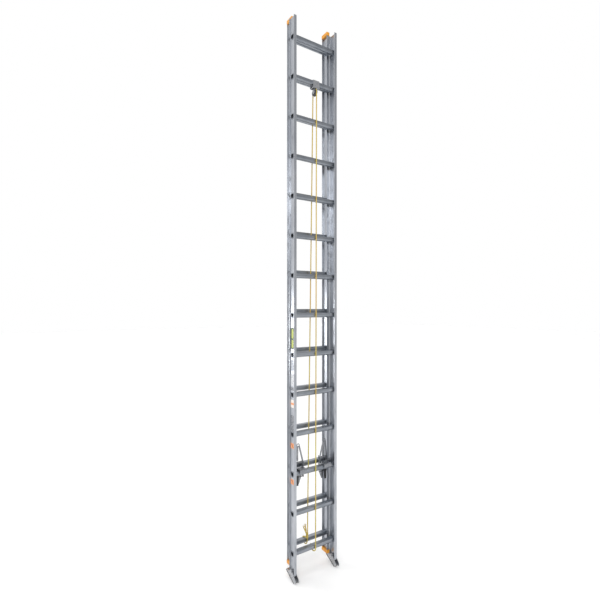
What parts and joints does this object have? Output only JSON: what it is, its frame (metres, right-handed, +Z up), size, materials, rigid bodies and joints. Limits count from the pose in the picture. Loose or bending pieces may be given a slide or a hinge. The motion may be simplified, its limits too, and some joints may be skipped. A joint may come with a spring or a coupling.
{
  "type": "extension ladder",
  "caption": "Two-section aluminium extension ladder, closed, with sliding fly, rung locks, halyard and pulley, swivel shoes and end caps.",
  "frame": {"origin": "on the floor midway between the two shoes' bolts, under the base section's mid-depth", "axes": "+X to the ladder's right seen from the rope side, +Y from the base section to the fly section, +Z up the rails"},
  "size_m": [0.4288, 0.1683, 4.3605],
  "materials": {
    "rail_aluminium": "extruded, satin",
    "rung_aluminium": "drawn tube, serrated tread",
    "cap_plastic": "moulded, orange",
    "zinc_steel": "zinc plated",
    "lock_steel": "stamped, zinc plated",
    "tongue_plastic": "moulded, black",
    "shoe_rubber": "moulded",
    "sheave_plastic": "moulded",
    "rope_yellow": "laid polypropylene"
  },
  "bodies": {
    "base": {"base_rail_left": "rail_aluminium", "base_rail_right": "rail_aluminium", "base_rung_01": "rung_aluminium", "base_rung_02": "rung_aluminium", "base_rung_03": "rung_aluminium", "base_rung_04": "rung_aluminium", "base_rung_05": "rung_aluminium", "base_rung_06": "rung_aluminium", "base_rung_07": "rung_aluminium", "base_rung_08": "rung_aluminium", "base_rung_09": "rung_aluminium", "base_rung_10": "rung_aluminium", "base_rung_11": "rung_aluminium", "base_rung_12": "rung_aluminium", "base_rung_13": "rung_aluminium", "base_rung_14": "rung_aluminium", "base_guide_left": "zinc_steel", "base_guide_right": "zinc_steel", "base_fasteners": "zinc_steel", "pulley_clamp": "zinc_steel", "pulley_pins": "zinc_steel", "rope_front": "rope_yellow", "rope_rear": "rope_yellow", "rope_knot_base": "rope_yellow"},
    "fly": {"fly_rail_left": "rail_aluminium", "fly_rail_right": "rail_aluminium", "fly_rung_01": "rung_aluminium", "fly_rung_02": "rung_aluminium", "fly_rung_03": "rung_aluminium", "fly_rung_04": "rung_aluminium", "fly_rung_05": "rung_aluminium", "fly_rung_06": "rung_aluminium", "fly_rung_07": "rung_aluminium", "fly_rung_08": "rung_aluminium", "fly_rung_09": "rung_aluminium", "fly_rung_10": "rung_aluminium", "fly_rung_11": "rung_aluminium", "fly_rung_12": "rung_aluminium", "fly_rung_13": "rung_aluminium", "fly_rung_14": "rung_aluminium", "fly_top_cap_left": "cap_plastic", "fly_top_cap_right": "cap_plastic", "fly_bottom_cap_left": "cap_plastic", "fly_bottom_cap_right": "cap_plastic", "fly_guide_left": "zinc_steel", "fly_guide_right": "zinc_steel", "lock_frame_left": "lock_steel", "lock_frame_right": "lock_steel", "fly_fasteners": "zinc_steel", "lock_springs": "zinc_steel", "rope_knot_fly": "rope_yellow"},
    "sheave": {"pulley_sheave": "sheave_plastic"},
    "shoe_left": {"shoe_left": "zinc_steel", "shoe_pad_left": "shoe_rubber"},
    "hook_left": {"lock_hook_left": "lock_steel"},
    "tongue_left": {"lock_tongue_left": "tongue_plastic"},
    "shoe_right": {"shoe_right": "zinc_steel", "shoe_pad_right": "shoe_rubber"},
    "hook_right": {"lock_hook_right": "lock_steel"},
    "tongue_right": {"lock_tongue_right": "tongue_plastic"}
  },
  "joints": [
    {"name": "fly_slide", "type": "slide", "parent": "base", "child": "fly", "axis": [0, 0, 1], "range_m": [0, 3.3528], "deforming": ["rope_rear"]},
    {"name": "sheave_spin", "type": "hinge", "parent": "base", "child": "sheave", "pos_m": [0.011, 0, 3.79927], "axis": [1, 0, 0], "continuous": true},
    {"name": "shoe_swivel_left", "type": "hinge", "parent": "base", "child": "shoe_left", "pos_m": [-0.193, 0, 0.07727], "axis": [1, 0, 0], "range_deg": [-118, 0]},
    {"name": "hook_pivot_left", "type": "hinge", "parent": "fly", "child": "hook_left", "pos_m": [-0.116, 0.038, 0.88027], "axis": [1, 0, 0], "range_deg": [-40, 0], "stiffness_Nm_per_rad": 0.15, "springref_deg": 20.05},
    {"name": "tongue_pivot_left", "type": "hinge", "parent": "fly", "child": "tongue_left", "pos_m": [-0.135, 0.029, 0.77027], "axis": [1, 0, 0], "range_deg": [-80, 10]},
    {"name": "shoe_swivel_right", "type": "hinge", "parent": "base", "child": "shoe_right", "pos_m": [0.193, 0, 0.07727], "axis": [1, 0, 0], "range_deg": [-118, 0]},
    {"name": "hook_pivot_right", "type": "hinge", "parent": "fly", "child": "hook_right", "pos_m": [0.116, 0.038, 0.88027], "axis": [1, 0, 0], "range_deg": [-40, 0], "stiffness_Nm_per_rad": 0.15, "springref_deg": 20.05},
    {"name": "tongue_pivot_right", "type": "hinge", "parent": "fly", "child": "tongue_right", "pos_m": [0.135, 0.029, 0.77027], "axis": [1, 0, 0], "range_deg": [-80, 10]}
  ]
}
